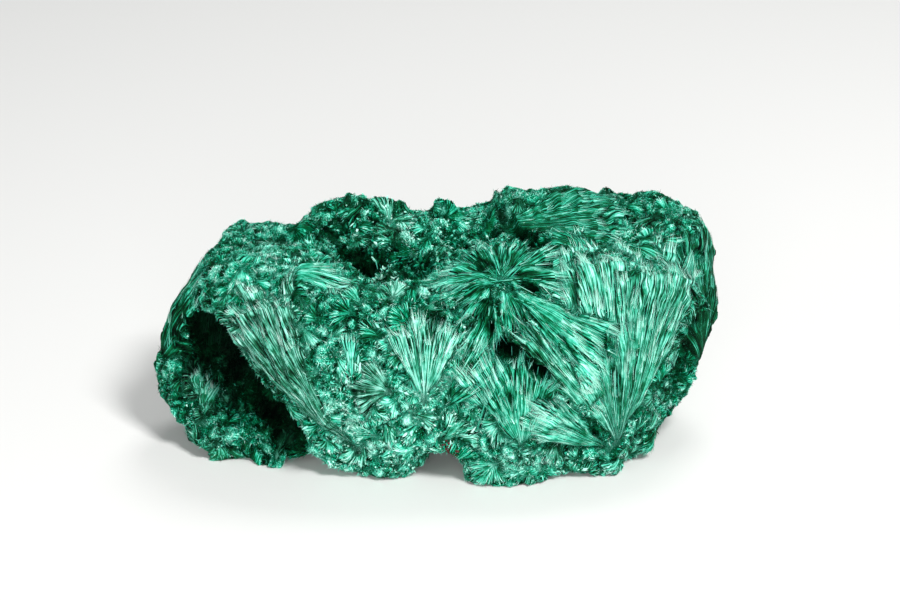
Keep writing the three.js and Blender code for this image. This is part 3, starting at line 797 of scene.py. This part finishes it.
def add_node(tree, kind, settings=None, **inputs):
    """Adds a node. settings are its properties. Each input, by its name or by i and its number, is
    a value, another node's socket, or another node, which stands for its first output."""
    node = tree.nodes.new(kind)
    for name, value in (settings or {}).items():
        setattr(node, name, value)
    for name, value in inputs.items():
        key = int(name[1:]) if name[0] == "i" and name[1:].isdigit() else name.replace("_", " ")
        if isinstance(value, bpy.types.Node):
            value = value.outputs[0]
        if isinstance(value, bpy.types.NodeSocket):
            tree.links.new(value, node.inputs[key])
        else:
            node.inputs[key].default_value = value
    return node


def malachite_colour(tree, level, open_, dust):
    """The colour of a level from 0 to 1, darkened as painted shade where the rock isn't open, and
    greyed by dust.
    """
    # Painted shade: where the rock sees little of the sky, the level of its green falls, down to a tenth.
    painted_shade = add_node(tree, "ShaderNodeMapRange", Value=open_, From_Min=0.2, From_Max=0.9, To_Min=0.1)
    shaded_level = add_node(tree, "ShaderNodeMath", {"operation": "MULTIPLY"}, i0=level, i1=painted_shade)
    green, dusty = [add_node(tree, "ShaderNodeValToRGB", i0=shaded_level) for _ in range(2)]
    for column, ramp in enumerate((green, dusty), start=1):
        elements = ramp.color_ramp.elements
        while len(elements) < len(GREENS):
            elements.new(0.5)
        for element, row in zip(elements, GREENS):
            element.position = row[0]
            element.color = linear(row[column])
    mixed = add_node(tree, "ShaderNodeMix", {"data_type": "RGBA"}, i0=dust, i6=green, i7=dusty)
    return mixed.outputs[2]


def weighed(tree, level, parts):
    """level plus each part times its weight."""
    for part, weight in parts:
        level = add_node(
            tree, "ShaderNodeMath", {"operation": "MULTIPLY_ADD"}, i0=part, i1=weight, i2=level
        )
    return level


print("Greens:", len(GREENS))

# %% The streaks
STREAK_LENGTH = 3.125 * MM
STREAK_SCALES = (0.5, 1.05)  # of the noise near a spray's centre and near its rim
# The gaps between fibres are painted darker, as the shade that falls between them.
GAP_BELOW = 0.43  # a lower noise is a gap between two fibres
GAP_SHADE = 2.2


def streaks(tree):
    """A noise that is drawn out along the rays, so that it reads as single fibres. Rays part on
    the way out, so a finer noise takes over towards the rim."""
    rays = add_node(tree, "ShaderNodeAttribute", {"attribute_name": "grain"}).outputs["Vector"]
    along, from_centre = [
        add_node(tree, "ShaderNodeAttribute", {"attribute_name": name}).outputs["Fac"]
        for name in ("along", "share")
    ]
    way_out = add_node(tree, "ShaderNodeMath", {"operation": "DIVIDE"}, i0=along, i1=STREAK_LENGTH)
    four = {"noise_dimensions": "4D"}
    near, far = [
        add_node(tree, "ShaderNodeTexNoise", four, i0=rays, W=way_out, Scale=scale, Detail=2.0)
        for scale in STREAK_SCALES
    ]
    outer = add_node(tree, "ShaderNodeMapRange", Value=from_centre, From_Min=0.15, From_Max=0.75)
    streak = add_node(tree, "ShaderNodeMix", i0=outer, i2=near, i3=far)
    # Painted shade in the gaps between fibres.
    below = add_node(tree, "ShaderNodeMath", {"operation": "SUBTRACT"}, i0=streak, i1=GAP_BELOW)
    gap = add_node(tree, "ShaderNodeMath", {"operation": "MINIMUM"}, i0=below, i1=0.0)
    return weighed(tree, streak, [(gap, GAP_SHADE)])


print("A streak is about", STREAK_LENGTH / MM, "mm long")

# %% The needles' material
CLOUD_SCALE = 180.0  # clouds of 5.6 mm
NEEDLE_LEVEL = -1.86  # brings the sum of the parts down to between 0 and 1


def needle_material():
    """Single fibres with a silky sheen, in the greens of the map."""
    material, tree, shader = new_material(
        "fibrous_malachite",
        Roughness=0.46,
        IOR=1.5,
        Specular_IOR_Level=0.1,
        Specular_Tint=linear("a6f0d4"),
    )
    tip, shade, crest_shading, pale_, open_, grey_ = [
        add_node(tree, "ShaderNodeAttribute", {"attribute_name": name}).outputs["Fac"]
        for name in ("tip", "shade", "crest", "pale", "open", "grey")
    ]
    place = add_node(tree, "ShaderNodeTexCoord").outputs["Object"]
    cloud = add_node(tree, "ShaderNodeTexNoise", i0=place, Scale=CLOUD_SCALE, Detail=1.0)
    # The crest part is painted light and shade: ridges paler, grooves darker.
    parts = [(tip, 0.1), (streaks(tree), 2.95), (shade, 0.3), (crest_shading, 0.7), (pale_, 0.55), (cloud, 0.3)]
    level = weighed(tree, NEEDLE_LEVEL, parts)
    dust = add_node(tree, "ShaderNodeMath", {"operation": "MULTIPLY"}, i0=grey_, i1=shade)
    tree.links.new(malachite_colour(tree, level, open_, dust), shader.inputs["Base Color"])
    print(material.name, "has", len(tree.nodes), "nodes")
    return material


needles_green = needle_material()

# %% The rock's material
SPECK_SCALE = 900.0  # specks of 1.1 mm
ROCK_LEVEL = -1.66
BUMP = 0.3 * MM


def rock_material():
    """The same mineral in the gaps. It is matt, because all its fibres end there."""
    material, tree, shader = new_material(
        "malachite_between_the_needles", Roughness=0.6, Specular_IOR_Level=0.04
    )
    crest_shading, pale_, open_, grey_ = [
        add_node(tree, "ShaderNodeAttribute", {"attribute_name": name}).outputs["Fac"]
        for name in ("crest", "pale", "open", "grey")
    ]
    place = add_node(tree, "ShaderNodeTexCoord").outputs["Object"]
    speck = add_node(tree, "ShaderNodeTexNoise", i0=place, Scale=SPECK_SCALE, Detail=4.0)
    streak = streaks(tree)
    # The crest part is painted light and shade: ridges paler, grooves darker.
    level = weighed(tree, ROCK_LEVEL, [(streak, 2.45), (crest_shading, 0.55), (pale_, 0.45), (speck, 0.6)])
    dust = add_node(tree, "ShaderNodeMath", {"operation": "MULTIPLY"}, i0=grey_, i1=speck)
    tree.links.new(malachite_colour(tree, level, open_, dust), shader.inputs["Base Color"])
    bump = add_node(tree, "ShaderNodeBump", Strength=1.0, Distance=BUMP, Height=streak)
    tree.links.new(bump.outputs[0], shader.inputs["Normal"])
    print(material.name, "has", len(tree.nodes), "nodes")
    return material


body.data.materials.append(rock_material())

# %% [markdown]
# ## One needle
# A needle is a thin crystal with a ridge along its upper side, which catches the light like a silk
# thread. Its `tip` attribute goes from 0 at the root to 1 at the point. The needles of the fans and
# of the velvet are so fine that a plain spike is enough. A chip keeps its width for longer.

# %% The spike and the chip
def needle_shape(rings):
    """A ridged needle of length 1 and width 1. rings are (height, half width), and a point ends it."""
    points, faces = [], []
    for height_up, half in rings:
        points += [(0, -half, height_up), (0.8 * half, 0, height_up), (0, half, height_up)]
    points.append((0, 0, 1))
    for ring in range(len(rings) - 1):
        for corner in (0, 1):
            a = 3 * ring + corner
            faces.append((a, a + 1, a + 4, a + 3))
    last = 3 * (len(rings) - 1)
    faces += [(last, last + 1, len(points) - 1), (last + 1, last + 2, len(points) - 1)]
    return points, faces


def needle_mesh(name, rings):
    """A needle as an object that Geometry Nodes can plant."""
    points, faces = needle_shape(rings)
    mesh = bpy.data.meshes.new(name)
    mesh.from_pydata(points, [], faces)
    keep(mesh, "tip", [point[2] for point in points])
    needle = bpy.data.objects.new(name, mesh)
    bpy.context.scene.collection.objects.link(needle)
    print(name, "has", sum(len(face) - 2 for face in faces), "triangles")
    return needle


spike = needle_mesh("spike", [(0.0, 0.5)])
chip = needle_mesh("chip", [(0.0, 0.5), (0.55, 0.42)])

# %% [markdown]
# ## Planting the needles
# One tree of nodes plants them all. It scatters points on the rock, by density and by the region
# asked for, and reads the map there. A random tilt is added to the way of growth, because no real
# spray is perfect. The fans get needles that lie nearly straight, those of the velvet cross each
# other, and chips grow where the rock is crumbly. Each piece stays under 200,000 triangles, so the
# rock is covered region by region.

# %% The planting tree
SPIN = (-0.7, 0.7, 5)  # radians about a needle's own length. Each range ends with its seed
LENGTHS = (0.4, 1.15, 7)
WIDTHS = (0.5, 1.5, 8)
SHADES = (0.0, 1.0, 9)
TILT_SEED = 11


def planting_tree():
    """The tree, and the identifier of each of its inputs by name."""
    tree = bpy.data.node_groups.new("plant_needles", "GeometryNodeTree")
    face = tree.interface
    face.new_socket(name="Rock", in_out="INPUT", socket_type="NodeSocketGeometry")
    names = {}
    for name, kind in [
        ("Needle", "NodeSocketObject"),
        ("Region", "NodeSocketString"),
        ("Where", "NodeSocketString"),
        ("Density", "NodeSocketFloat"),
        ("Width", "NodeSocketFloat"),
        ("Tilt", "NodeSocketFloat"),
        ("Root depth", "NodeSocketFloat"),
        ("Seed", "NodeSocketInt"),
        ("Material", "NodeSocketMaterial"),
    ]:
        names[name] = face.new_socket(name=name, in_out="INPUT", socket_type=kind).identifier
    face.new_socket(name="Needles", in_out="OUTPUT", socket_type="NodeSocketGeometry")
    start = add_node(tree, "NodeGroupInput").outputs
    number, vector = {"data_type": "FLOAT"}, {"data_type": "FLOAT_VECTOR"}
    times, scaled = {"operation": "MULTIPLY"}, {"operation": "SCALE"}

    region_here, where_here, reach_here = [
        add_node(tree, "GeometryNodeInputNamedAttribute", number, Name=name).outputs["Attribute"]
        for name in (start["Region"], start["Where"], "reach")
    ]
    way_here = add_node(tree, "GeometryNodeInputNamedAttribute", vector, Name="way")
    share_here = add_node(tree, "ShaderNodeMath", times, i0=region_here, i1=where_here)
    density = add_node(tree, "ShaderNodeMath", times, i0=share_here, i1=start["Density"])
    scatter = {"distribute_method": "RANDOM"}
    points = add_node(
        tree,
        "GeometryNodeDistributePointsOnFaces",
        scatter,
        Mesh=start["Rock"],
        Density=density,
        Seed=start["Seed"],
    )
    normal = points.outputs["Normal"]
    spin, long_, wide, shade = [
        add_node(tree, "FunctionNodeRandomValue", number, i2=low, i3=high, Seed=seed).outputs[1]
        for low, high, seed in (SPIN, LENGTHS, WIDTHS, SHADES)
    ]

    jitter = add_node(
        tree, "FunctionNodeRandomValue", vector, i0=(-1.0, -1.0, -1.0), i1=(1.0, 1.0, 1.0), Seed=TILT_SEED
    )
    tilt = add_node(tree, "ShaderNodeVectorMath", scaled, i0=jitter, Scale=start["Tilt"])
    grow = add_node(tree, "ShaderNodeVectorMath", {"operation": "ADD"}, i0=way_here, i1=tilt)
    aimed = add_node(tree, "FunctionNodeAlignRotationToVector", {"axis": "Z"}, Vector=grow)
    ridge_up = {"axis": "X", "pivot_axis": "Z"}
    upright = add_node(
        tree, "FunctionNodeAlignRotationToVector", ridge_up, Rotation=aimed, Vector=normal
    )
    spin_turn = add_node(tree, "FunctionNodeAxisAngleToRotation", Axis=(0.0, 0.0, 1.0), Angle=spin)
    own = {"rotation_space": "LOCAL"}
    turned = add_node(tree, "FunctionNodeRotateRotation", own, Rotation=upright, Rotate_By=spin_turn)

    needle_length = add_node(tree, "ShaderNodeMath", times, i0=reach_here, i1=long_)
    needle_width = add_node(tree, "ShaderNodeMath", times, i0=start["Width"], i1=wide)
    size = add_node(tree, "ShaderNodeCombineXYZ", X=needle_width, Y=needle_width, Z=needle_length)
    down = add_node(tree, "ShaderNodeMath", times, i0=start["Root depth"], i1=-1.0)
    sunk = add_node(tree, "ShaderNodeVectorMath", scaled, i0=normal, Scale=down)
    lowered = add_node(tree, "GeometryNodeSetPosition", Geometry=points, Offset=sunk)
    template = add_node(tree, "GeometryNodeObjectInfo", Object=start["Needle"])
    planted = add_node(
        tree,
        "GeometryNodeInstanceOnPoints",
        Points=lowered,
        Instance=template.outputs["Geometry"],
        Rotation=turned,
        Scale=size,
    )
    per_needle = {"data_type": "FLOAT", "domain": "INSTANCE"}
    stored = add_node(
        tree, "GeometryNodeStoreNamedAttribute", per_needle, Geometry=planted, Name="shade", Value=shade
    )
    real = add_node(tree, "GeometryNodeRealizeInstances", Geometry=stored)
    finish = add_node(tree, "GeometryNodeSetMaterial", Geometry=real, Material=start["Material"])
    add_node(tree, "NodeGroupOutput", i0=finish)
    return tree, names


planting, planting_names = planting_tree()
print("The planting tree has", len(planting.nodes), "nodes")


# %% Planting the pieces
def plant(name, settings):
    """Plants needles on the rock and returns them as a plain mesh object."""
    carrier = bpy.data.objects.new(name, body.data)
    bpy.context.scene.collection.objects.link(carrier)
    modifier = carrier.modifiers.new("needles", "NODES")
    modifier.node_group = planting
    for key, value in settings.items():
        modifier[planting_names[key]] = value
    depsgraph = bpy.context.evaluated_depsgraph_get()
    mesh = bpy.data.meshes.new_from_object(carrier.evaluated_get(depsgraph))
    carrier.modifiers.clear()
    carrier.data = mesh
    mesh.name = name
    for attribute in ("way", "reach", "fan", "rest", "crumb", *["in_" + r for r in REGIONS]):
        if attribute in mesh.attributes:
            mesh.attributes.remove(mesh.attributes[attribute])
    mesh.shade_flat()
    print(name, sum(len(p.vertices) - 2 for p in mesh.polygons), "triangles")
    return carrier


# Density is in needles to the square metre, and each region adds its number to the seed.
KINDS = {
    "chips_": {"Needle": chip, "Where": "crumb", "Density": 2.6e6, "Width": 0.32 * MM, "Tilt": 0.7},
    "blades_": {"Needle": spike, "Where": "fan", "Density": 22.0e6, "Width": 0.09 * MM, "Tilt": 0.055},
    "velvet_": {"Needle": spike, "Where": "rest", "Density": 24.0e6, "Width": 0.12 * MM, "Tilt": 0.45},
}
KIND_SEEDS = (10, 40, 70)

common = {"Material": needles_green, "Root depth": ROOT_DEPTH}
pieces = []
for number, name in enumerate(REGIONS):
    for (kind, settings), seed in zip(KINDS.items(), KIND_SEEDS):
        here = {"Region": "in_" + name, "Seed": seed + number}
        pieces.append(plant(kind + name, {**common, **settings, **here}))

# %% [markdown]
# A few crystals are large enough to be seen one by one: the tufts that stand in the pocket, the
# upright blades on the front, the bundle that hangs from the star, and some long single ones.

# %% The loose crystals
CRYSTAL = [(0.0, 0.3), (0.6, 0.5), (0.9, 0.36)]
ROOTED = 0.3 * MM
LEAST_RISE = 0.2 * MM


def tuft(count, at, toward, length, width, spread, root, pale, open_=0.85, rise=0.45):
    """A bunch in millimetres and degrees. root is how far its roots are scattered, open_ is how
    open it is to the light, which paints its colour darker as shade when low, and rise is how far a
    tip may stand off the rock."""
    form = {"count": count, "at": at, "toward": toward, "length": length, "width": width}
    return {**form, "spread": spread, "root": root, "pale": pale, "open": open_, "rise": rise}


BUNCHES = [
    # The pocket's tufts and twigs. The smaller ones are less open, so they are painted darker as shade.
    tuft(
        170, (-8.4, 1.4, 23.4), (0, -0.4, 1),
        length=1.5, width=0.3, spread=65, root=1.4, pale=0.8, open_=0.9, rise=1.8,
    ),
    tuft(
        90, (-3.4, 1.6, 25), (0.1, -0.4, 1),
        length=1.2, width=0.28, spread=65, root=1.1, pale=0.5, open_=0.65, rise=1.5,
    ),
    tuft(
        90, (-12.6, 2.6, 25.6), (0, -0.4, 1),
        length=1.2, width=0.28, spread=65, root=1.2, pale=0.5, open_=0.65, rise=1.5,
    ),
    # The long blade on the pocket's lip.
    tuft(2, (-18.4, -9.4, 25.8), (1, 0, 0.16), length=6.4, width=0.30, spread=3, root=0.2, pale=0.75),
    # The upright blades on the front.
    tuft(14, (-12.2, -17, 16.2), (0, 0.15, 1), length=3.6, width=0.28, spread=8, root=1.2, pale=0.7),
    tuft(9, (5.6, -18.6, 9.4), (0.5, 0.12, 0.95), length=7.5, width=0.28, spread=5, root=0.7, pale=0.85),
    tuft(14, (-2.2, -16.8, 12.4), (0, 0.2, 1), length=6.5, width=0.2, spread=16, root=0.6, pale=0.7),
    # The bundle that hangs from the star, and its stoutest rays.
    tuft(20, (8.3, -9, 26.8), (-0.1, -0.5, -1), length=4.8, width=0.24, spread=12, root=0.6, pale=0.7),
    tuft(30, (8.7, -8, 27.2), (0.3, 0.5, 1), length=4.2, width=0.18, spread=70, root=0.5, pale=0.35),
    tuft(18, (9.6, -9, 26.4), (1, -0.3, -0.55), length=6.5, width=0.17, spread=16, root=0.7, pale=0.5),
    # Hairs in the slot of the right flank, and in the crevice under the star.
    tuft(12, (34, -5, 12.4), (0.2, 0, 1), length=3.4, width=0.1, spread=30, root=0.8, pale=0.6),
    tuft(12, (12, -14.6, 15.6), (0.1, 0, 1), length=3.0, width=0.12, spread=45, root=1.4, pale=0.6),
    # The great fan's stoutest rays.
    tuft(40, (24.9, -14.4, 8.6), (-0.1, 0.38, 1), length=10, width=0.18, spread=28, root=0.8, pale=0.7),
]


def loose_crystals(name, bunches, material):
    """Bunches as one mesh, each crystal laid against the rock where it would sink or float."""
    shape, shape_faces = needle_shape(CRYSTAL)
    shape = np.array(shape)
    points, faces, looks = [], [], []
    for bunch in bunches:
        aim = unit(bunch["toward"])
        for _ in range(bunch["count"]):
            tilt = math.tan(math.radians(bunch["spread"])) * draws.uniform(-0.7, 0.7, 3)
            heading = unit(aim + tilt)
            start = (np.array(bunch["at"]) + bunch["root"] * draws.normal(size=3) * 0.5) * MM
            long_ = bunch["length"] * MM * draws.uniform(0.5, 1.0)
            place, out = tree_of_relief.find_nearest(Vector(start))[:2]
            start = np.array(place) - ROOTED * np.array(out)
            tip = start + heading * long_
            tip_place, tip_out = tree_of_relief.find_nearest(Vector(tip))[:2]
            over = (tip - np.array(tip_place)) @ np.array(tip_out)
            over = float(np.clip(over, LEAST_RISE, bunch["rise"] * MM))
            tip = np.array(tip_place) + over * np.array(tip_out)
            heading = unit(tip - start)
            side = unit(np.cross(heading, np.array(out)))
            ridge = np.cross(side, heading)
            wide = bunch["width"] * MM * draws.uniform(0.6, 1.2)
            local = shape * [wide, wide, np.linalg.norm(tip - start)]
            first = len(points)
            points += (start + local[:, :1] * ridge + local[:, 1:2] * side + local[:, 2:] * heading).tolist()
            faces += [tuple(first + corner for corner in face) for face in shape_faces]
            shade = draws.random(len(shape))[0]
            looks.append((shade, bunch["pale"], bunch["open"]))
    mesh = bpy.data.meshes.new(name)
    mesh.from_pydata(points, [], faces)
    shades, pales, opens = np.repeat(looks, len(shape), axis=0).T
    columns = {
        "tip": np.tile(shape[:, 2], len(looks)),
        "shade": shades,
        "pale": pales,
        "open": opens,
        "crest": 0.5,
        "grey": 0.2,
        "along": 0.0,
        "share": 1.0,
    }
    for key, column in columns.items():
        keep(mesh, key, np.broadcast_to(column, len(points)))
    grains = np.repeat(draws.uniform(0, 100, (len(looks), 3)), len(shape), axis=0)
    keep(mesh, "grain", grains, "FLOAT_VECTOR")
    mesh.materials.append(material)
    crystals = bpy.data.objects.new(name, mesh)
    bpy.context.scene.collection.objects.link(crystals)
    print(name, "has", len(looks), "crystals")
    return crystals


pieces.append(loose_crystals("loose_crystals", BUNCHES, needles_green))

# %% [markdown]
# A few grains of iron oxide sit over the notch. They are too small to show a form, so they are made
# as short thick crystals. Iron oxide in such grains is dull and nearly black, but for a red tone.

# %% The rusty grains
RUSTY = [
    tuft(34, (1.4, -17.6, 5.4), (0.3, -0.3, 1), length=0.8, width=0.4, spread=70, root=1.1, pale=0.3),
]
rust = new_material("rusty_grains", Base_Color=linear("4a1614"), Roughness=0.8)[0]
pieces.append(loose_crystals("rusty_grains", RUSTY, rust))

for template in (spike, chip):
    bpy.data.objects.remove(template)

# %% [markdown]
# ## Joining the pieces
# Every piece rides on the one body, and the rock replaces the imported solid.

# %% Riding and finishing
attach(body, "root")
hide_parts("malachite_specimen")
for piece in pieces:
    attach(piece, "root")
